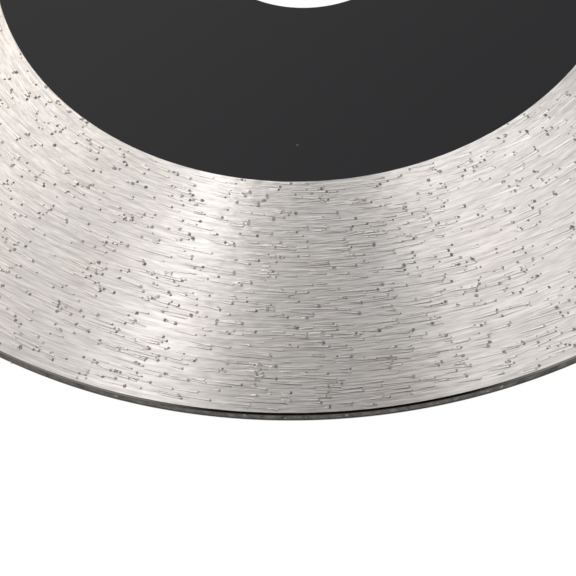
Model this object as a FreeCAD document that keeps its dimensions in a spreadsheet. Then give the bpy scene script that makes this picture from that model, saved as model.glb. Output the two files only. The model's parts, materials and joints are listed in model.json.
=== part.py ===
"""Continuous rim diamond blade for a small angle grinder, lying flat.

The blade is two pieces. A thin steel core carries the bore. A wide sintered ring of metal bond and
diamond grit is pressed round the core's edge, stands a little proud of it on both sides and runs
unbroken round the blade. Inside the joint the core's edge is notched, and the bond fills the
notches, so that the ring can't turn on the core.

The origin is the centre of the bore, halfway through the thickness. +Z is the spindle axis. All
lengths are in millimetres.
"""

import FreeCAD, Part
import Sketcher
import os

DRIVING_SIZES = [
    # alias, value, what it is
    ("blade_diameter", 115.0, "outside diameter of the sintered rim"),
    ("rim_height", 25.0, "radial height of the rim, from its inner to its outer edge"),
    ("rim_thickness", 1.2, "thickness of the rim, which is the width of its cut"),
    ("side_clearance", 0.15, "how far the rim stands proud of the core on each side"),
    ("rim_outer_chamfer", 0.15, "edge break where the rim's faces meet its cutting edge"),
    ("rim_inner_chamfer", 0.06, "edge break where the rim's faces step down to the core"),
    ("bore_diameter", 22.23, "spindle bore"),
    ("bore_chamfer", 0.1, "edge break on both mouths of the bore"),
    ("lock_land", 1.5, "how far the core runs on whole inside the rim, before its notches"),
    ("lock_depth", 2.5, "how far a notch goes into the core's edge"),
    ("lock_mouth_width", 2.2, "width of a notch at the core's edge"),
    ("lock_root_width", 3.2, "width of a notch at its root"),
    ("lock_count", 24, "notches round the core's edge"),
]

# How far a cutting outline runs on past the material that it cuts.
CUT_OVERRUN = 0.5

# Sizes that both pieces share, each worked out from the driving sizes.
RIM_THICKNESS = "Sizes.rim_thickness"
CORE_THICKNESS = "Sizes.rim_thickness - 2 * Sizes.side_clearance"
BORE_RADIUS = "Sizes.bore_diameter / 2"
BLADE_RADIUS = "Sizes.blade_diameter / 2"
JOINT_RADIUS = "Sizes.blade_diameter / 2 - Sizes.rim_height"
LOCK_ROOT_RADIUS = f"{JOINT_RADIUS} + Sizes.lock_land"
CORE_RADIUS = f"{LOCK_ROOT_RADIUS} + Sizes.lock_depth"

# The break on the rim's inner edge takes no more than half of the step that it sits on.
INNER_CHAMFER = "min(Sizes.rim_inner_chamfer; Sizes.side_clearance / 2)"

# Numbers that a sketch gives to its own origin and to its horizontal axis.
ORIGIN_POINT = (-1, 1)
HORIZONTAL_AXIS = -1
SAME_LENGTH = 1e-4


def driving_sheet(doc):
    """Spreadsheet of the sizes that a designer may change, one aliased cell to a size."""
    sheet = doc.addObject("Spreadsheet::Sheet", "Sizes")
    for row, (alias, value, meaning) in enumerate(DRIVING_SIZES, start=1):
        sheet.set(f"A{row}", meaning)
        sheet.set(f"B{row}", str(value))
        sheet.setAlias(f"B{row}", alias)
    doc.recompute()
    return sheet


def origin_feature(body, role):
    """The plane or axis of the body's own origin with that role, such as XY_Plane."""
    return next(f for f in body.Origin.OriginFeatures if f.Role == role)


def symmetric_profile(body, label, plane, stations):
    """Closed sketch, the same on both sides of its horizontal axis.

    Each station is a distance from the origin along that axis and the full width there, both as
    expressions. The outline runs out along one side and back along the other.
    """
    sketch = body.newObject("Sketcher::SketchObject", label)
    sketch.AttachmentSupport = (origin_feature(body, plane), [""])
    sketch.MapMode = "FlatFace"
    reach = [float(sketch.evalExpression(distance)) for distance, _ in stations]
    half = [float(sketch.evalExpression(width)) / 2 for _, width in stations]
    outline = [FreeCAD.Vector(x, y, 0) for x, y in zip(reach, half)]
    outline += [FreeCAD.Vector(x, -y, 0) for x, y in reversed(list(zip(reach, half)))]
    last = len(outline) - 1
    for start, end in zip(outline, outline[1:] + outline[:1]):
        sketch.addGeometry(Part.LineSegment(start, end), False)
    for line in range(last + 1):
        following = (line + 1) % (last + 1)
        sketch.addConstraint(Sketcher.Constraint("Coincident", line, 2, following, 1))
    for number, (distance, width) in enumerate(stations):
        near, far = number, last - number
        sketch.addConstraint(Sketcher.Constraint("Symmetric", near, 1, far, 1, HORIZONTAL_AXIS))
        along = sketch.addConstraint(
            Sketcher.Constraint("DistanceX", *ORIGIN_POINT, near, 1, reach[number])
        )
        across = sketch.addConstraint(
            Sketcher.Constraint("DistanceY", far, 1, near, 1, 2 * half[number])
        )
        sketch.renameConstraint(along, f"distance_{number}")
        sketch.renameConstraint(across, f"width_{number}")
        sketch.setExpression(f"Constraints.distance_{number}", distance)
        sketch.setExpression(f"Constraints.width_{number}", width)
    return sketch


def ring_section(body, label, inner_radius, outer_radius, thickness):
    """Rectangle that turns into a flat ring about the spindle axis."""
    stations = [(inner_radius, thickness), (outer_radius, thickness)]
    return symmetric_profile(body, label, "XZ_Plane", stations)


def turn(body, kind, label, section):
    """Revolution or Groove of a section, all the way round the spindle axis."""
    feature = body.newObject(f"PartDesign::{kind}", label)
    feature.Profile = section
    feature.ReferenceAxis = (origin_feature(body, "Z_Axis"), [""])
    feature.Angle = 360
    body.Document.recompute()


def lock_outline(body):
    """Dovetail that locks rim and core together. It runs on past the core's edge."""
    stations = [
        (LOCK_ROOT_RADIUS, "Sizes.lock_root_width"),
        (CORE_RADIUS, "Sizes.lock_mouth_width"),
        (f"{CORE_RADIUS} + {CUT_OVERRUN}", "Sizes.lock_mouth_width"),
    ]
    return symmetric_profile(body, "lock_outline", "XY_Plane", stations)


def add_locks(body, kind):
    """The dovetails all round: a Pocket notches the core, and a Pad fills those notches."""
    one = body.newObject(f"PartDesign::{kind}", "lock")
    one.Profile = lock_outline(body)
    one.SideType = "Symmetric"
    one.setExpression("Length", CORE_THICKNESS)
    body.Document.recompute()
    ring = body.newObject("PartDesign::PolarPattern", "lock_ring")
    ring.Originals = [one]
    ring.Axis = (origin_feature(body, "Z_Axis"), [""])
    ring.Angle = 360
    ring.setExpression("Occurrences", "Sizes.lock_count")
    body.Tip = ring
    body.Document.recompute()


def round_edges(feature, radius_expression, thickness_expression):
    """Names of the round edges at one radius, on the two faces of a plate of that thickness."""
    radius = float(feature.evalExpression(radius_expression))
    height = float(feature.evalExpression(thickness_expression)) / 2
    names = []
    for number, edge in enumerate(feature.Shape.Edges, start=1):
        if not isinstance(edge.Curve, Part.Circle):
            continue
        same_radius = abs(edge.Curve.Radius - radius) < SAME_LENGTH
        on_a_face = abs(abs(edge.Curve.Center.z) - height) < SAME_LENGTH
        if same_radius and on_a_face:
            names.append(f"Edge{number}")
    return names


def edge_break(body, label, size, radius, thickness):
    """Chamfer on both edges that the body's plate, of that thickness, has at one radius."""
    base = body.Tip
    feature = body.newObject("PartDesign::Chamfer", label)
    feature.Base = (base, round_edges(base, radius, thickness))
    feature.setExpression("Size", size)
    body.Tip = feature
    body.Document.recompute()


def steel_core(doc):
    """Laser-cut steel disc with the spindle bore and a notched outer edge."""
    body = doc.addObject("PartDesign::Body", "steel_core")
    body.Label = "steel_core"
    section = ring_section(body, "core_section", BORE_RADIUS, CORE_RADIUS, CORE_THICKNESS)
    turn(body, "Revolution", "core_disc", section)
    add_locks(body, "Pocket")
    edge_break(body, "bore_edges", "Sizes.bore_chamfer", BORE_RADIUS, CORE_THICKNESS)
    return body


def diamond_rim(doc):
    """Sintered ring, grooved for the core, with the dovetails that fill the core's notches."""
    body = doc.addObject("PartDesign::Body", "diamond_rim")
    body.Label = "diamond_rim"
    section = ring_section(body, "rim_section", JOINT_RADIUS, BLADE_RADIUS, RIM_THICKNESS)
    turn(body, "Revolution", "rim_ring", section)
    groove_start = f"{JOINT_RADIUS} - {CUT_OVERRUN}"
    seat = ring_section(body, "seat_section", groove_start, CORE_RADIUS, CORE_THICKNESS)
    turn(body, "Groove", "core_seat", seat)
    add_locks(body, "Pad")
    edge_break(body, "outer_edges", "Sizes.rim_outer_chamfer", BLADE_RADIUS, RIM_THICKNESS)
    edge_break(body, "inner_edges", INNER_CHAMFER, JOINT_RADIUS, RIM_THICKNESS)
    return body


def check_document(doc):
    """Stops the build if any feature failed, which a recompute alone doesn't show."""
    for item in doc.Objects:
        if "Invalid" in item.State or "Error" in item.State:
            raise RuntimeError(f"{item.Label} failed: {item.State}")


def export(bodies):
    """Writes each piece to a STEP file of its own, named after its label."""
    os.makedirs("parts", exist_ok=True)
    for body in bodies:
        shape = body.Shape
        if shape.isNull() or not shape.isValid():
            raise RuntimeError(f"{body.Label} has no valid shape")
        shape.exportStep(f"parts/{body.Label}.step")
        print(f"{body.Label}: {len(shape.Solids)} solid, {shape.Volume:.1f} mm3")


def main():
    doc = FreeCAD.newDocument("diamond_blade")
    driving_sheet(doc)
    bodies = [steel_core(doc), diamond_rim(doc)]
    doc.recompute()
    check_document(doc)
    export(bodies)


main()
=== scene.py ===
"""The look of a continuous rim diamond blade that lies flat on a pale table.

The steel core keeps its CAD solid and gets its paint. The sintered rim is turned again with a
smooth edge, and gets what its solid leaves out: diamond grains that stand in the ground metal bond,
and the ridge of bond that each grain shelters behind it. Everything is in metres, in the frame's
own axes: the origin is the centre of the bore and +Z is the spindle axis.
"""

import itertools
import json
import math
import random

import bpy
from mathutils import Euler, Matrix, Vector


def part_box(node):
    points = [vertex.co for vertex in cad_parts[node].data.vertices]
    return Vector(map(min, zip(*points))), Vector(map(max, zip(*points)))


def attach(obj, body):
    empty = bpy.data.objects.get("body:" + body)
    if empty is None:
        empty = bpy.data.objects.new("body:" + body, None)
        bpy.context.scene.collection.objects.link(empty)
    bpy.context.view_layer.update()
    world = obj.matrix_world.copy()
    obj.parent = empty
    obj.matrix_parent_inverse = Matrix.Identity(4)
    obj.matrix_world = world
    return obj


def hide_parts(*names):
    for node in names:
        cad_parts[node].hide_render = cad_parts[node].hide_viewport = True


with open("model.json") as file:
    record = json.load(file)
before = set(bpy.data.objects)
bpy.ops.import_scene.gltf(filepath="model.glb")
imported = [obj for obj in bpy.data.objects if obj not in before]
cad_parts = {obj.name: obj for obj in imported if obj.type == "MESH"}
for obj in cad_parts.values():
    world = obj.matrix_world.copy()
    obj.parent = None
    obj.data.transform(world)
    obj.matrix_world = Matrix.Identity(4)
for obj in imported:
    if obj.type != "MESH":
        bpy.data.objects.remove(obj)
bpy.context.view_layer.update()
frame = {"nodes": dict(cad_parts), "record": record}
MM = 0.001

# The camera looks down on the near edge of the blade from the front. Its place was fitted to the
# rim's inner and outer edges in the photograph, which is 576 pixels square and shows a little over
# a quarter of the blade.
PHOTO_WIDTH_PX = 576
FOCAL_LENGTH_PX = 2000
SENSOR_WIDTH_MM = 36
CAMERA_PLACE = Vector((0, -142.20, 153.47)) * MM
CAMERA_PAN, CAMERA_TILT, CAMERA_ROLL = -0.0443, 1.0004, 0.1133
CLIP_START = 10 * MM


def camera_axes(pan, tilt, roll):
    """Right, up and back of a camera that faces +Y, then pans, tilts down and rolls, in radians."""
    forward = Vector((
        math.sin(pan) * math.cos(tilt),
        math.cos(pan) * math.cos(tilt),
        -math.sin(tilt),
    ))
    level_right = Vector((math.cos(pan), -math.sin(pan), 0))
    level_down = forward.cross(level_right)
    right = math.cos(roll) * level_right + math.sin(roll) * level_down
    down = math.cos(roll) * level_down - math.sin(roll) * level_right
    return right, -down, -forward


camera_data = bpy.data.cameras.new("camera")
camera_data.sensor_width = SENSOR_WIDTH_MM
camera_data.lens = FOCAL_LENGTH_PX / PHOTO_WIDTH_PX * SENSOR_WIDTH_MM
camera_data.clip_start = CLIP_START
camera = bpy.data.objects.new("camera", camera_data)
axes = Matrix(camera_axes(CAMERA_PAN, CAMERA_TILT, CAMERA_ROLL)).transposed()
camera.matrix_world = Matrix.Translation(CAMERA_PLACE) @ axes.to_4x4()
bpy.context.scene.collection.objects.link(camera)
bpy.context.scene.camera = camera


# The steel core is a thin disc of sheet steel, painted satin black on both faces. Its bore was cut
# after painting, so the bore's wall and edge breaks are bare. Its notched edge is inside the rim.
spindle_bore = next(m for m in frame["record"]["mounts"] if m["name"] == "spindle_bore")
BORE_RADIUS = spindle_bore["dims"]["r_mm"] * MM
BORE_EDGE_BREAK = 0.11 * MM
PAINT_COLOUR = (0.0062, 0.0062, 0.0082, 1)
BARE_STEEL_COLOUR = (0.55, 0.54, 0.52, 1)
DUST_PLACE = Vector((-2.64, -28.08, 0.45)) * MM
DUST_RADIUS = 0.17 * MM
DUST_SOLID_SHARE = 0.3
DUST_COLOUR = (0.07, 0.07, 0.07, 1)


def new_material(name):
    """An empty node material, with its nodes and links."""
    material = bpy.data.materials.new(name)
    material.use_nodes = True
    nodes, links = material.node_tree.nodes, material.node_tree.links
    nodes.clear()
    return material, nodes, links


def add_node(nodes, kind, settings=(), values=()):
    """A shader node with its properties and the values of its unlinked inputs."""
    node = nodes.new("ShaderNode" + kind)
    for name, value in dict(settings).items():
        setattr(node, name, value)
    for name, value in dict(values).items():
        node.inputs[name].default_value = value
    return node


def distance_from_axis(nodes, links):
    """Socket that holds how far a point is from the spindle axis."""
    place = add_node(nodes, "TexCoord")
    flat = add_node(nodes, "VectorMath", {"operation": "MULTIPLY"})
    flat.inputs[1].default_value = (1, 1, 0)
    length = add_node(nodes, "VectorMath", {"operation": "LENGTH"})
    links.new(place.outputs["Object"], flat.inputs[0])
    links.new(flat.outputs["Vector"], length.inputs[0])
    return length.outputs["Value"]


def paint_material():
    """Satin black paint with a faint orange peel and a fleck of dust, and bare steel at the bore."""
    material, nodes, links = new_material("core_paint")
    place = add_node(nodes, "TexCoord")
    peel = add_node(nodes, "TexNoise", values={"Scale": 2600, "Detail": 3, "Roughness": 0.6})
    patches = add_node(nodes, "TexNoise", values={"Scale": 60, "Detail": 2})
    for noise in (peel, patches):
        links.new(place.outputs["Object"], noise.inputs["Vector"])
    bump = add_node(nodes, "Bump", values={"Strength": 0.5, "Distance": 0.004 * MM})
    links.new(peel.outputs["Fac"], bump.inputs["Height"])
    sheen = add_node(nodes, "MapRange", values={"To Min": 0.36, "To Max": 0.46})
    links.new(patches.outputs["Fac"], sheen.inputs["Value"])
    offset = add_node(nodes, "VectorMath", {"operation": "DISTANCE"})
    offset.inputs[1].default_value = DUST_PLACE
    links.new(place.outputs["Object"], offset.inputs[0])
    fleck = add_node(nodes, "MapRange", values={
        "From Min": DUST_RADIUS, "From Max": DUST_SOLID_SHARE * DUST_RADIUS,
    })
    links.new(offset.outputs["Value"], fleck.inputs["Value"])
    tint = add_node(nodes, "Mix", {"data_type": "RGBA"}, {"A": PAINT_COLOUR, "B": DUST_COLOUR})
    links.new(fleck.outputs["Result"], tint.inputs["Factor"])
    paint = add_node(nodes, "BsdfPrincipled", values={"Specular IOR Level": 0.27})
    links.new(tint.outputs["Result"], paint.inputs["Base Color"])
    links.new(bump.outputs["Normal"], paint.inputs["Normal"])
    links.new(sheen.outputs["Result"], paint.inputs["Roughness"])
    steel = add_node(nodes, "BsdfPrincipled", values={
        "Base Color": BARE_STEEL_COLOUR, "Metallic": 1, "Roughness": 0.38,
    })
    inside = add_node(nodes, "Math", {"operation": "LESS_THAN"})
    inside.inputs[1].default_value = BORE_RADIUS + BORE_EDGE_BREAK
    links.new(distance_from_axis(nodes, links), inside.inputs[0])
    either = add_node(nodes, "MixShader")
    output = add_node(nodes, "OutputMaterial")
    links.new(inside.outputs[0], either.inputs["Fac"])
    links.new(paint.outputs["BSDF"], either.inputs[1])
    links.new(steel.outputs["BSDF"], either.inputs[2])
    links.new(either.outputs["Shader"], output.inputs["Surface"])
    return material


core = frame["nodes"]["steel_core"]
core.data.materials.clear()
core.data.materials.append(paint_material())


# The sintered rim is one ring of metal bond, pressed and sintered round the core's edge. Its faces
# are ground in circles round the spindle axis, so that they shine in fans, its corners are broken,
# and its cutting edge is as the mould left it, dull and dark. Inside, it fills the core's notches.
rim_low, rim_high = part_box("diamond_rim")
RIM_HEIGHT = 25 * MM
RIM_OUTER = rim_high[0]
RIM_INNER = RIM_OUTER - RIM_HEIGHT
GRAIN_STAND = 0.06 * MM
BOND_TOP = rim_high[2] - GRAIN_STAND
EDGE_GRAIN_STAND = 0.012 * MM
BOND_OUTER = RIM_OUTER - EDGE_GRAIN_STAND
OUTER_BREAK = 0.15 * MM
INNER_BREAK = 0.06 * MM
EDGE_HALF_HEIGHT = BOND_TOP - OUTER_BREAK
RING_SEGMENTS = 720
SHARP_FROM = math.radians(20)

PRESSED, GROUND, BROKEN = range(3)
RIM_OUTLINE = [
    # Radius, height, and the finish of the stretch that leads on from there.
    (RIM_INNER, BOND_TOP - INNER_BREAK, BROKEN),
    (RIM_INNER + INNER_BREAK, BOND_TOP, GROUND),
    (BOND_OUTER - OUTER_BREAK, BOND_TOP, BROKEN),
    (BOND_OUTER, EDGE_HALF_HEIGHT, PRESSED),
    (BOND_OUTER, -EDGE_HALF_HEIGHT, BROKEN),
    (BOND_OUTER - OUTER_BREAK, -BOND_TOP, GROUND),
    (RIM_INNER + INNER_BREAK, -BOND_TOP, BROKEN),
    (RIM_INNER, INNER_BREAK - BOND_TOP, PRESSED),
]
BOND_COLOUR = (0.82, 0.78, 0.75, 1)
BOND_WARM = (0.835, 0.775, 0.73, 1)
BOND_COOL = (0.805, 0.785, 0.77, 1)
OUTER_SHADE = 0.79
GROUND_LEVELS = (0.765, 1.09)
PRESSED_DARK = (0.022, 0.02, 0.018, 1)
PRESSED_PALE = (0.21, 0.196, 0.181, 1)
# Painted shade towards both corners of the cutting edge begins at this height from its middle.
CORNER_SHADE_START_HEIGHT = 0.22 * MM

# Marks of the grinding wheel, and of the stone: how many in a radian along the circle, and in a
# metre across it.
WHEEL_SCRATCHES = (9, 4200)
WHEEL_DABS = (30, 4600)
STONE_MARKS = (30, 12000)


def new_piece(name, vertices, faces):
    """Object with a mesh of those vertices and faces."""
    mesh = bpy.data.meshes.new(name)
    mesh.from_pydata(vertices, [], faces)
    piece = bpy.data.objects.new(name, mesh)
    bpy.context.scene.collection.objects.link(piece)
    return piece


def turned_ring(name, outline, segments):
    """Closed ring made by turning the outline round Z. The finishes become material numbers."""
    vertices, faces, finishes = [], [], []
    count = len(outline)
    for step in range(segments):
        angle = 2 * math.pi * step / segments
        here = step * count
        there = (step + 1) % segments * count
        for point, (radius, height, finish) in enumerate(outline):
            vertices.append((radius * math.cos(angle), radius * math.sin(angle), height))
            following = (point + 1) % count
            faces.append((here + point, here + following, there + following, there + point))
            finishes.append(finish)
    ring = new_piece(name, vertices, faces)
    ring.data.polygons.foreach_set("material_index", finishes)
    return ring


def cut_out(piece, cutter):
    """Takes the cutter's solid out of the piece for good."""
    cut = piece.modifiers.new("cut", "BOOLEAN")
    cut.operation = "DIFFERENCE"
    cut.solver = "EXACT"
    cut.object = cutter
    shaped = piece.evaluated_get(bpy.context.evaluated_depsgraph_get())
    piece.data = bpy.data.meshes.new_from_object(shaped)
    piece.modifiers.clear()


def ring_noise(nodes, links, along, across, detail):
    """Noise drawn out along circles round the axis: marks in a radian, and marks in a metre."""
    place = add_node(nodes, "TexCoord")
    flat = add_node(nodes, "VectorMath", {"operation": "MULTIPLY"})
    flat.inputs[1].default_value = (1, 1, 0)
    bearing = add_node(nodes, "VectorMath", {"operation": "NORMALIZE"})
    spread = add_node(nodes, "VectorMath", {"operation": "SCALE"}, {"Scale": along})
    stack = add_node(nodes, "Math", {"operation": "MULTIPLY"})
    stack.inputs[1].default_value = across
    level = add_node(nodes, "CombineXYZ")
    where = add_node(nodes, "VectorMath", {"operation": "ADD"})
    noise = add_node(nodes, "TexNoise", values={"Scale": 1, "Detail": detail, "Roughness": 0.6})
    links.new(place.outputs["Object"], flat.inputs[0])
    links.new(flat.outputs["Vector"], bearing.inputs[0])
    links.new(bearing.outputs["Vector"], spread.inputs[0])
    links.new(distance_from_axis(nodes, links), stack.inputs[0])
    links.new(stack.outputs[0], level.inputs["Z"])
    links.new(spread.outputs["Vector"], where.inputs[0])
    links.new(level.outputs["Vector"], where.inputs[1])
    links.new(where.outputs["Vector"], noise.inputs["Vector"])
    return noise


def ground_bond_material(name, deepest, brightest):
    """Bright bond metal, ground in circles and a shade darker towards the cutting edge.

    Its marks run from deepest to brightest, as shares of the metal's own colour: the colour is
    darker in their grooves, as painted shade.
    """
    material, nodes, links = new_material(name)
    scratches = ring_noise(nodes, links, *WHEEL_SCRATCHES, detail=1)
    dabs = ring_noise(nodes, links, *WHEEL_DABS, detail=1)
    marks = add_node(nodes, "Mix", {"data_type": "FLOAT"}, {"Factor": 0.45})
    links.new(scratches.outputs["Fac"], marks.inputs["A"])
    links.new(dabs.outputs["Fac"], marks.inputs["B"])
    relief = add_node(nodes, "Bump", values={"Strength": 1, "Distance": 0.075 * MM})
    links.new(marks.outputs["Result"], relief.inputs["Height"])
    place = add_node(nodes, "TexCoord")
    patches = add_node(nodes, "TexNoise", values={"Scale": 90, "Detail": 2})
    links.new(place.outputs["Object"], patches.inputs["Vector"])
    tint = add_node(nodes, "Mix", {"data_type": "RGBA"}, {"A": BOND_WARM, "B": BOND_COOL})
    links.new(patches.outputs["Fac"], tint.inputs["Factor"])
    # Painted shade: the colour follows the height of the marks and is darker in their grooves.
    depth = add_node(nodes, "MapRange", values={
        "From Min": 0.34, "From Max": 0.64, "To Min": deepest, "To Max": brightest,
    })
    links.new(marks.outputs["Result"], depth.inputs["Value"])
    fall = add_node(nodes, "MapRange", values={
        "From Min": RIM_INNER, "From Max": RIM_OUTER, "To Min": 1, "To Max": OUTER_SHADE,
    })
    links.new(distance_from_axis(nodes, links), fall.inputs["Value"])
    level = add_node(nodes, "Math", {"operation": "MULTIPLY"})
    links.new(depth.outputs["Result"], level.inputs[0])
    links.new(fall.outputs["Result"], level.inputs[1])
    shade = add_node(nodes, "VectorMath", {"operation": "SCALE"})
    links.new(tint.outputs["Result"], shade.inputs[0])
    links.new(level.outputs[0], shade.inputs["Scale"])
    bond = add_node(nodes, "BsdfPrincipled", values={
        "Base Color": BOND_COLOUR, "Metallic": 1, "Roughness": 0.35,
        "Anisotropic": 1, "Anisotropic Rotation": 0.25,
    })
    grain = add_node(nodes, "Tangent", {"direction_type": "RADIAL", "axis": "Z"})
    links.new(shade.outputs["Vector"], bond.inputs["Base Color"])
    links.new(relief.outputs["Normal"], bond.inputs["Normal"])
    links.new(grain.outputs["Tangent"], bond.inputs["Tangent"])
    output = add_node(nodes, "OutputMaterial")
    links.new(bond.outputs["BSDF"], output.inputs["Surface"])
    return material


def pressed_bond_material():
    """Dull dark bond as it left the mould, mottled by its powder. Painted shade darkens it towards
    both corners of the cutting edge, the lower one as a contact shadow by the floor.
    """
    material, nodes, links = new_material("pressed_bond")
    place = add_node(nodes, "TexCoord")
    powder = add_node(nodes, "TexNoise", values={"Scale": 1000, "Detail": 4, "Roughness": 0.65})
    links.new(place.outputs["Object"], powder.inputs["Vector"])
    mottle = add_node(nodes, "MapRange", values={"From Min": 0.3, "From Max": 0.7})
    links.new(powder.outputs["Fac"], mottle.inputs["Value"])
    axes = add_node(nodes, "SeparateXYZ")
    links.new(place.outputs["Object"], axes.inputs[0])
    height = add_node(nodes, "Math", {"operation": "ABSOLUTE"})
    links.new(axes.outputs["Z"], height.inputs[0])
    # Painted shade: the pale powder tone fades out towards both corners. This gives the shade along
    # the top corner and the contact shadow at the foot.
    corner = add_node(nodes, "MapRange", values={
        "From Min": CORNER_SHADE_START_HEIGHT, "From Max": EDGE_HALF_HEIGHT, "To Min": 1, "To Max": 0,
    })
    links.new(height.outputs[0], corner.inputs["Value"])
    share = add_node(nodes, "Math", {"operation": "MULTIPLY"})
    links.new(mottle.outputs["Result"], share.inputs[0])
    links.new(corner.outputs["Result"], share.inputs[1])
    tint = add_node(nodes, "Mix", {"data_type": "RGBA"}, {"A": PRESSED_DARK, "B": PRESSED_PALE})
    links.new(share.outputs[0], tint.inputs["Factor"])
    relief = add_node(nodes, "Bump", values={"Strength": 1, "Distance": 0.03 * MM})
    links.new(powder.outputs["Fac"], relief.inputs["Height"])
    bond = add_node(nodes, "BsdfPrincipled", values={
        "Metallic": 0.35, "Roughness": 0.6, "Specular IOR Level": 0.25,
    })
    links.new(tint.outputs["Result"], bond.inputs["Base Color"])
    links.new(relief.outputs["Normal"], bond.inputs["Normal"])
    output = add_node(nodes, "OutputMaterial")
    links.new(bond.outputs["BSDF"], output.inputs["Surface"])
    return material


def broken_edge_material():
    """Smooth bright bond where a corner was broken with a fine stone."""
    material, nodes, links = new_material("broken_edge")
    marks = ring_noise(nodes, links, *STONE_MARKS, detail=2)
    gloss = add_node(nodes, "MapRange", values={"To Min": 0.05, "To Max": 0.12})
    links.new(marks.outputs["Fac"], gloss.inputs["Value"])
    relief = add_node(nodes, "Bump", values={"Strength": 1, "Distance": 0.002 * MM})
    links.new(marks.outputs["Fac"], relief.inputs["Height"])
    bond = add_node(nodes, "BsdfPrincipled", values={"Base Color": BOND_COLOUR, "Metallic": 1})
    links.new(gloss.outputs["Result"], bond.inputs["Roughness"])
    links.new(relief.outputs["Normal"], bond.inputs["Normal"])
    output = add_node(nodes, "OutputMaterial")
    links.new(bond.outputs["BSDF"], output.inputs["Surface"])
    return material


ground_bond = ground_bond_material("ground_bond", *GROUND_LEVELS)
pressed_bond = pressed_bond_material()
broken_edge = broken_edge_material()
rim_bond = turned_ring("rim_bond", RIM_OUTLINE, RING_SEGMENTS)
for finish in (pressed_bond, ground_bond, broken_edge):
    rim_bond.data.materials.append(finish)
cut_out(rim_bond, core)
rim_bond.data.shade_smooth()
rim_bond.data.set_sharp_from_angle(angle=SHARP_FROM)
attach(rim_bond, "root")
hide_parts("diamond_rim")


# The diamond grains are synthetic crystals, cubes with their corners cut away, a third of a
# millimetre across. The bond holds them all through the rim, and those at a surface are worn flat
# a few hundredths of a millimetre above it. They lie at random, and some touch.
GRAIN_RADIUS = (0.12 * MM, 0.26 * MM)
GRAIN_DEPTH = (0.02 * MM, 0.12 * MM)
CORNER_REACH = (0.7, 1.1)
SAME_REACH = 0.001
GRAINS_IN_MM2 = 1.15
EDGE_GRAINS_IN_MM2 = 0.5
EDGE_BAND = 0.75
STAND_SHARE = (0.55, 1)
EDGE_STAND_SHARE = (0.4, 1)
TOUCHING_SHARE = 0.3
TOUCHING_GAP_MM = (0.2, 0.42)
SEAT_MARGIN = 0.2 * MM
FIRST_SEAT = RIM_INNER + SEAT_MARGIN
LAST_SEAT = BOND_OUTER - OUTER_BREAK - SEAT_MARGIN
GRAIN_DARK = (0.06, 0.056, 0.055, 1)
GRAIN_PALE = (0.36, 0.345, 0.335, 1)
GRAIN_SEED = 4050


def cut_cube():
    """Corners, and faces as rings of corner numbers, of a cube cut back to its edges' middles."""
    steps = list(itertools.product((-1, 0, 1), repeat=3))
    corners = [Vector(step).normalized() for step in steps if step.count(0) == 1]
    faces = []
    for outward in (Vector(step).normalized() for step in steps if step.count(0) in (0, 2)):
        reach = max(outward.dot(corner) for corner in corners)
        ring = [n for n, corner in enumerate(corners) if outward.dot(corner) > reach - SAME_REACH]
        start = corners[ring[0]] - reach * outward
        across = outward.cross(start)
        ring.sort(key=lambda n: math.atan2(corners[n].dot(across), corners[n].dot(start)))
        faces.append(ring)
    return corners, faces


def polar(radius, angle, height):
    """Point at a radius, an angle from +X and a height."""
    return Vector((radius * math.cos(angle), radius * math.sin(angle), height))


def on_the_face(radius):
    """The nearest radius that lies on the ground face, clear of its edges."""
    return min(max(radius, FIRST_SEAT), LAST_SEAT)


def face_seats(chance):
    """Radius, angle and stand of each grain that shows on one ground face."""
    area_mm2 = math.pi * (RIM_OUTER ** 2 - RIM_INNER ** 2) / MM ** 2
    seats = []
    for _ in range(round(area_mm2 * GRAINS_IN_MM2)):
        radius = math.sqrt(chance.uniform(FIRST_SEAT ** 2, LAST_SEAT ** 2))
        angle = chance.uniform(0, 2 * math.pi)
        if seats and chance.random() < TOUCHING_SHARE:
            bearing = chance.uniform(0, 2 * math.pi)
            gap = chance.uniform(*TOUCHING_GAP_MM) * MM
            radius = on_the_face(seats[-1][0] + gap * math.cos(bearing))
            angle = seats[-1][1] + gap * math.sin(bearing) / radius
        seats.append((radius, angle, GRAIN_STAND * chance.uniform(*STAND_SHARE)))
    return seats


def grains(name, seats, chance):
    """One piece of many crystals.

    A seat is a point on the bond, its outward direction and how far the crystal stands over it.
    """
    corners, faces_of_one = cut_cube()
    vertices, faces = [], []
    for place, outward, stand in seats:
        turn = Euler([chance.uniform(0, 2 * math.pi) for _ in range(3)]).to_matrix()
        size = chance.uniform(*GRAIN_RADIUS)
        depth = chance.uniform(*GRAIN_DEPTH)
        first = len(vertices)
        for corner in corners:
            point = turn @ corner * size * chance.uniform(*CORNER_REACH) - depth * outward
            above = max(point.dot(outward) - stand, 0)
            vertices.append(place + point - above * outward)
        faces += [[first + n for n in face] for face in faces_of_one]
    piece = new_piece(name, vertices, faces)
    piece.data.materials.append(grit_material)
    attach(piece, "root")
    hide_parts("diamond_rim")


def diamond_material():
    """Dark crystal, ground in circles with the bond, and paler in one grain than in the next."""
    material, nodes, links = new_material("diamond_grain")
    which = add_node(nodes, "NewGeometry")
    tint = add_node(nodes, "Mix", {"data_type": "RGBA"}, {"A": GRAIN_DARK, "B": GRAIN_PALE})
    links.new(which.outputs["Random Per Island"], tint.inputs["Factor"])
    grain = add_node(nodes, "BsdfPrincipled", values={
        "Roughness": 0.35, "IOR": 1.9, "Anisotropic": 1, "Anisotropic Rotation": 0.25,
    })
    marks = add_node(nodes, "Tangent", {"direction_type": "RADIAL", "axis": "Z"})
    links.new(marks.outputs["Tangent"], grain.inputs["Tangent"])
    links.new(tint.outputs["Result"], grain.inputs["Base Color"])
    output = add_node(nodes, "OutputMaterial")
    links.new(grain.outputs["BSDF"], output.inputs["Surface"])
    return material


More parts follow.
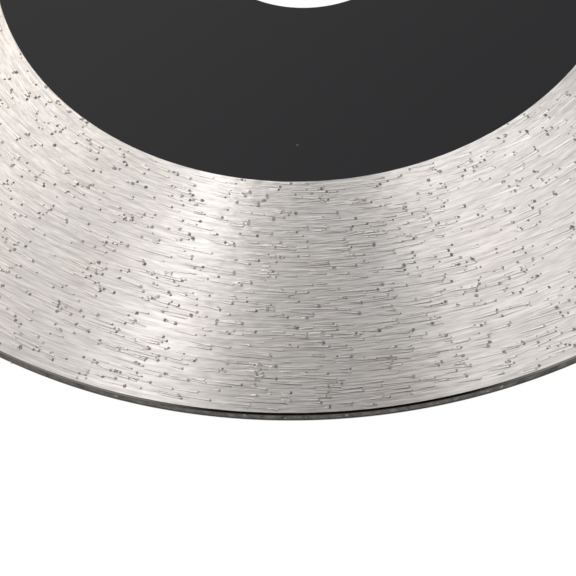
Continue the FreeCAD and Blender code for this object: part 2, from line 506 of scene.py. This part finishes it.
grit_material = diamond_material()
chance = random.Random(GRAIN_SEED)
upper_seats = face_seats(chance)
lower_seats = face_seats(chance)
for name, seats, side in (("grains_upper", upper_seats, 1), ("grains_lower", lower_seats, -1)):
    up = Vector((0, 0, side))
    places = [(polar(radius, angle, side * BOND_TOP), up, stand) for radius, angle, stand in seats]
    grains(name, places, chance)

edge_area_mm2 = 2 * math.pi * BOND_OUTER * 2 * EDGE_HALF_HEIGHT / MM ** 2
edge_seats = []
for _ in range(round(edge_area_mm2 * EDGE_GRAINS_IN_MM2)):
    angle = chance.uniform(0, 2 * math.pi)
    place = polar(BOND_OUTER, angle, chance.uniform(-EDGE_BAND, EDGE_BAND) * EDGE_HALF_HEIGHT)
    stand = EDGE_GRAIN_STAND * chance.uniform(*EDGE_STAND_SHARE)
    edge_seats.append((place, polar(1, angle, 0), stand))
grains("grains_edge", edge_seats, chance)


# Each grain shelters the bond behind it from the grinding, which leaves a short ridge, the comet
# tail that shows which way the wheel went by. It is bond metal and one with the rim: its top is
# ground flat, and the wheel didn't reach its steep sides. The top is given a brighter colour than
# the ground bond as a painted highlight, and the sides a darker one as painted shade.
RIDGE_SHARE = 0.9
RIDGE_LENGTH_MEDIAN = 1.7 * MM
RIDGE_LENGTH_SPREAD = 0.65
RIDGE_LENGTH_LIMITS = (0.4 * MM, 6 * MM)
RIDGE_HEIGHT_SHARE = (0.8, 0.98)
RIDGE_TOP_WIDTH = (0.04 * MM, 0.19 * MM)
RIDGE_SLOPE = (math.radians(36), math.radians(44))
RIDGE_SLANT_MEAN = math.radians(2)
RIDGE_SLANT_SPREAD = math.radians(2.5)
RIDGE_START = 0.09 * MM
RIDGE_ROOT = 0.01 * MM
# Painted shade on the ridge sides and a painted highlight on the ridge tops, against the ground
# bond.
RIDGE_SIDE_SHADE_COLOUR = (0.57, 0.54, 0.52, 1)
RIDGE_TOP_HIGHLIGHT_LEVELS = (1.07, 1.15)

# Sections of a ridge: how far along it each is, and its share of the full height and width.
RIDGE_SECTIONS = ((0, 1), (0.6, 0.6))

# The finish of each strip that leads from one corner of a section to the next.
SIDE, TOP = range(2)
STRIP_FINISHES = (SIDE, TOP, SIDE, SIDE)


def ridge_side_material():
    """The steep sides of a ridge, which the wheel didn't reach, darker than the ground bond as
    painted shade.
    """
    material, nodes, links = new_material("ridge_side")
    bond = add_node(nodes, "BsdfPrincipled", values={
        "Base Color": RIDGE_SIDE_SHADE_COLOUR, "Metallic": 1, "Roughness": 0.3,
    })
    output = add_node(nodes, "OutputMaterial")
    links.new(bond.outputs["BSDF"], output.inputs["Surface"])
    return material


def ridge_section(radius, angle, height, slope, width, side):
    """Four corners across a ridge: its two feet, sunk in the bond, and the edges of its top."""
    top = width / 2
    foot = top + (height + RIDGE_ROOT) / math.tan(slope)
    across = [(-foot, -RIDGE_ROOT), (-top, height), (top, height), (foot, -RIDGE_ROOT)]
    return [polar(radius + out, angle, side * (BOND_TOP + up)) for out, up in across]


def ridges(name, seats, side, chance):
    """One piece of many ridges, each tapering clockwise, as seen from above, from its grain."""
    vertices, faces, finishes = [], [], []
    shortest, longest = RIDGE_LENGTH_LIMITS
    corners = len(STRIP_FINISHES)
    for radius, angle, stand in seats:
        if chance.random() > RIDGE_SHARE:
            continue
        length = RIDGE_LENGTH_MEDIAN * math.exp(chance.gauss(0, RIDGE_LENGTH_SPREAD))
        length = min(max(length, shortest), longest)
        height = stand * chance.uniform(*RIDGE_HEIGHT_SHARE)
        slope = chance.uniform(*RIDGE_SLOPE)
        width = chance.uniform(*RIDGE_TOP_WIDTH)
        slant = math.tan(chance.gauss(RIDGE_SLANT_MEAN, RIDGE_SLANT_SPREAD))
        near = len(vertices)
        far = near + corners
        tip = far + corners
        for along, share in RIDGE_SECTIONS:
            there = angle - (RIDGE_START + along * length) / radius
            out = on_the_face(radius - along * length * slant)
            vertices += ridge_section(out, there, share * height, slope, share * width, side)
        end = angle - (RIDGE_START + length) / radius
        out = on_the_face(radius - length * slant)
        vertices.append(polar(out, end, side * (BOND_TOP - RIDGE_ROOT)))
        faces.append([near + n for n in range(corners)])
        finishes.append(SIDE)
        for n, finish in enumerate(STRIP_FINISHES):
            following = (n + 1) % corners
            faces.append((near + n, far + n, far + following, near + following))
            faces.append((far + n, tip, far + following))
            finishes += [finish, finish]
    if side < 0:
        faces = [tuple(reversed(face)) for face in faces]
    piece = new_piece(name, vertices, faces)
    for finish in (ridge_side, ridge_top):
        piece.data.materials.append(finish)
    piece.data.polygons.foreach_set("material_index", finishes)
    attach(piece, "root")
    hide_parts("diamond_rim")


ridge_side = ridge_side_material()
# The ridge tops are a brighter copy of the ground bond, as a painted highlight.
ridge_top = ground_bond_material("ridge_top", *RIDGE_TOP_HIGHLIGHT_LEVELS)
ridges("ridges_upper", upper_seats, 1, chance)
ridges("ridges_lower", lower_seats, -1, chance)


# The table is a plain white sheet, much larger than the blade, which lies flat on it. It is the
# stage, and no part of the object.
FLOOR_SIZE = 4.0
PAPER_COLOUR = (0.85, 0.85, 0.85, 1)
LIFT_SHARE = 0.9
LIFT_STRENGTH = 1.04
CONTACT_SHADOW_REACH = 0.15 * MM
CONTACT_SHADOW_POWER = 8


def floor_material():
    """White paper. What the camera and shiny surfaces see of it is lifted to full white, apart
    from a painted contact shadow: a dark line where the blade meets it.
    """
    material, nodes, links = new_material("floor_paper")
    paper = add_node(nodes, "BsdfDiffuse", values={"Color": PAPER_COLOUR})
    white = add_node(nodes, "Emission")
    # Painted contact shadow: ambient occlusion darkens the white lift where the blade meets the
    # paper.
    gap = add_node(nodes, "AmbientOcclusion", values={"Distance": CONTACT_SHADOW_REACH})
    depth = add_node(nodes, "Math", {"operation": "POWER"})
    depth.inputs[1].default_value = CONTACT_SHADOW_POWER
    glow = add_node(nodes, "Math", {"operation": "MULTIPLY"})
    glow.inputs[1].default_value = LIFT_STRENGTH
    links.new(gap.outputs["AO"], depth.inputs[0])
    links.new(depth.outputs[0], glow.inputs[0])
    links.new(glow.outputs[0], white.inputs["Strength"])
    ray = add_node(nodes, "LightPath")
    seen = add_node(nodes, "Math", {"operation": "MAXIMUM"})
    links.new(ray.outputs["Is Camera Ray"], seen.inputs[0])
    links.new(ray.outputs["Is Glossy Ray"], seen.inputs[1])
    share = add_node(nodes, "Math", {"operation": "MULTIPLY"})
    share.inputs[1].default_value = LIFT_SHARE
    links.new(seen.outputs[0], share.inputs[0])
    mix = add_node(nodes, "MixShader")
    output = add_node(nodes, "OutputMaterial")
    links.new(share.outputs[0], mix.inputs["Fac"])
    links.new(paper.outputs["BSDF"], mix.inputs[1])
    links.new(white.outputs["Emission"], mix.inputs[2])
    links.new(mix.outputs["Shader"], output.inputs["Surface"])
    return material


half = FLOOR_SIZE / 2
floor_corners = [
    (-half, -half, rim_low[2]), (half, -half, rim_low[2]),
    (half, half, rim_low[2]), (-half, half, rim_low[2]),
]
floor = new_piece("floor", floor_corners, [(0, 1, 2, 3)])
floor.data.materials.append(floor_material())


# The light is a pale studio with a soft box on each side above the camera, and a narrow bright
# strip by the left one. The room behind the camera is dark, which is what the broken edge of the
# rim reflects.
LEFT, RIGHT = -1, 1
BOX_HEIGHT = 0.35
BOX_START = -0.044
BOX_LENGTH = 0.32
BOX_WIDTH = 0.40
STRIP_WIDTH = 0.056

# The room's grey grows with Y - SIDE_SLANT * X of the direction that is looked in, over this range.
OVERHEAD_GREY = 0.23
FAR_GREY = 1.6
SIDE_SLANT = 0.8
GREY_FROM, GREY_TO = 0.2, 0.95

# The room turns warm to the left, over this range of the direction's X.
WARM_WALL = (1, 0.925, 0.83, 1)
WARM_FROM, WARM_TO = -0.25, -0.7

# Behind the camera it is dark between these bearings from -Y and up to this height. The dark fades
# out over DARK_FADE on each side of them.
DARK_GREY = 0.004
DARK_FROM, DARK_TO = math.radians(-29), math.radians(28)
DARK_TOP = math.radians(58)
DARK_FADE = math.radians(8)


def soft_box(name, side, slot, toe_out, width, radiance, colour):
    """Area lamp that hangs level over the table, on the left or the right.

    Its inner edge starts beside the blade, a slot's width off the middle, and runs out towards the
    camera and away from the middle at the angle toe_out.
    """
    lamp = bpy.data.lights.new(name, "AREA")
    lamp.shape = "RECTANGLE"
    lamp.size = width
    lamp.size_y = BOX_LENGTH
    lamp.energy = radiance * math.pi * width * BOX_LENGTH
    lamp.color = colour
    box = bpy.data.objects.new(name, lamp)
    outwards = Vector((math.cos(toe_out) * side, math.sin(toe_out), 0))
    forwards = Vector((math.sin(toe_out) * side, -math.cos(toe_out), 0))
    corner = Vector((slot * side, BOX_START, BOX_HEIGHT))
    box.location = corner + outwards * width / 2 + forwards * BOX_LENGTH / 2
    box.rotation_euler.z = toe_out * side
    bpy.context.scene.collection.objects.link(box)


soft_box(
    "soft_box_right", RIGHT, slot=0.0456, toe_out=math.radians(13), width=BOX_WIDTH,
    radiance=2.8, colour=(1, 0.99, 0.985),
)
soft_box(
    "soft_box_left", LEFT, slot=0.073, toe_out=math.radians(7), width=BOX_WIDTH,
    radiance=0.85, colour=(1, 0.955, 0.90),
)
soft_box(
    "strip_left", LEFT, slot=0.0815, toe_out=math.radians(21), width=STRIP_WIDTH,
    radiance=7.1, colour=(0.965, 0.98, 1),
)


def studio_world():
    """Pale grey all round, warm on the left, dark on the camera's side, and white to the camera."""
    studio = bpy.data.worlds.new("studio")
    studio.use_nodes = True
    nodes, links = studio.node_tree.nodes, studio.node_tree.links
    nodes.clear()
    place = add_node(nodes, "TexCoord")
    axes = add_node(nodes, "SeparateXYZ")
    links.new(place.outputs["Generated"], axes.inputs[0])
    forward = add_node(nodes, "Math", {"operation": "MULTIPLY"})
    forward.inputs[1].default_value = -1
    links.new(axes.outputs["Y"], forward.inputs[0])
    azimuth = add_node(nodes, "Math", {"operation": "ARCTAN2"})
    links.new(axes.outputs["X"], azimuth.inputs[0])
    links.new(forward.outputs[0], azimuth.inputs[1])
    elevation = add_node(nodes, "Math", {"operation": "ARCSINE"})
    links.new(axes.outputs["Z"], elevation.inputs[0])

    def fade(angle, lit, dark):
        """1 where the angle is at or past dark, 0 where it is at or past lit."""
        ramp = add_node(nodes, "MapRange", {"interpolation_type": "SMOOTHSTEP"}, {
            "From Min": lit, "From Max": dark,
        })
        links.new(angle.outputs[0], ramp.inputs["Value"])
        return ramp.outputs["Result"]

    limits = [
        fade(azimuth, DARK_FROM - DARK_FADE, DARK_FROM + DARK_FADE),
        fade(azimuth, DARK_TO + DARK_FADE, DARK_TO - DARK_FADE),
        fade(elevation, DARK_TOP + DARK_FADE, DARK_TOP - DARK_FADE),
    ]
    darkness = limits[0]
    for limit in limits[1:]:
        both = add_node(nodes, "Math", {"operation": "MULTIPLY"})
        links.new(darkness, both.inputs[0])
        links.new(limit, both.inputs[1])
        darkness = both.outputs[0]
    wall = add_node(nodes, "MapRange", {"interpolation_type": "SMOOTHSTEP"}, {
        "From Min": GREY_FROM, "From Max": GREY_TO, "To Min": OVERHEAD_GREY, "To Max": FAR_GREY,
    })
    aside = add_node(nodes, "Math", {"operation": "MULTIPLY_ADD"})
    aside.inputs[1].default_value = -SIDE_SLANT
    links.new(axes.outputs["X"], aside.inputs[0])
    links.new(axes.outputs["Y"], aside.inputs[2])
    links.new(aside.outputs[0], wall.inputs["Value"])
    grey = add_node(nodes, "MapRange", values={"To Max": DARK_GREY})
    links.new(darkness, grey.inputs["Value"])
    links.new(wall.outputs["Result"], grey.inputs["To Min"])
    leftwards = add_node(nodes, "MapRange", values={"From Min": WARM_FROM, "From Max": WARM_TO})
    links.new(axes.outputs["X"], leftwards.inputs["Value"])
    tint = add_node(nodes, "Mix", {"data_type": "RGBA"}, {"A": (1, 1, 1, 1), "B": WARM_WALL})
    links.new(leftwards.outputs["Result"], tint.inputs["Factor"])
    shade = add_node(nodes, "VectorMath", {"operation": "SCALE"})
    links.new(tint.outputs["Result"], shade.inputs[0])
    links.new(grey.outputs["Result"], shade.inputs["Scale"])
    room = add_node(nodes, "Background")
    links.new(shade.outputs["Vector"], room.inputs["Color"])
    white = add_node(nodes, "Background", values={"Color": (1, 1, 1, 1)})
    ray = add_node(nodes, "LightPath")
    seen = add_node(nodes, "MixShader")
    output = add_node(nodes, "OutputWorld")
    links.new(ray.outputs["Is Camera Ray"], seen.inputs["Fac"])
    links.new(room.outputs["Background"], seen.inputs[1])
    links.new(white.outputs["Background"], seen.inputs[2])
    links.new(seen.outputs["Shader"], output.inputs["Surface"])
    return studio


bpy.context.scene.world = studio_world()
bpy.context.scene.view_settings.view_transform = "Standard"
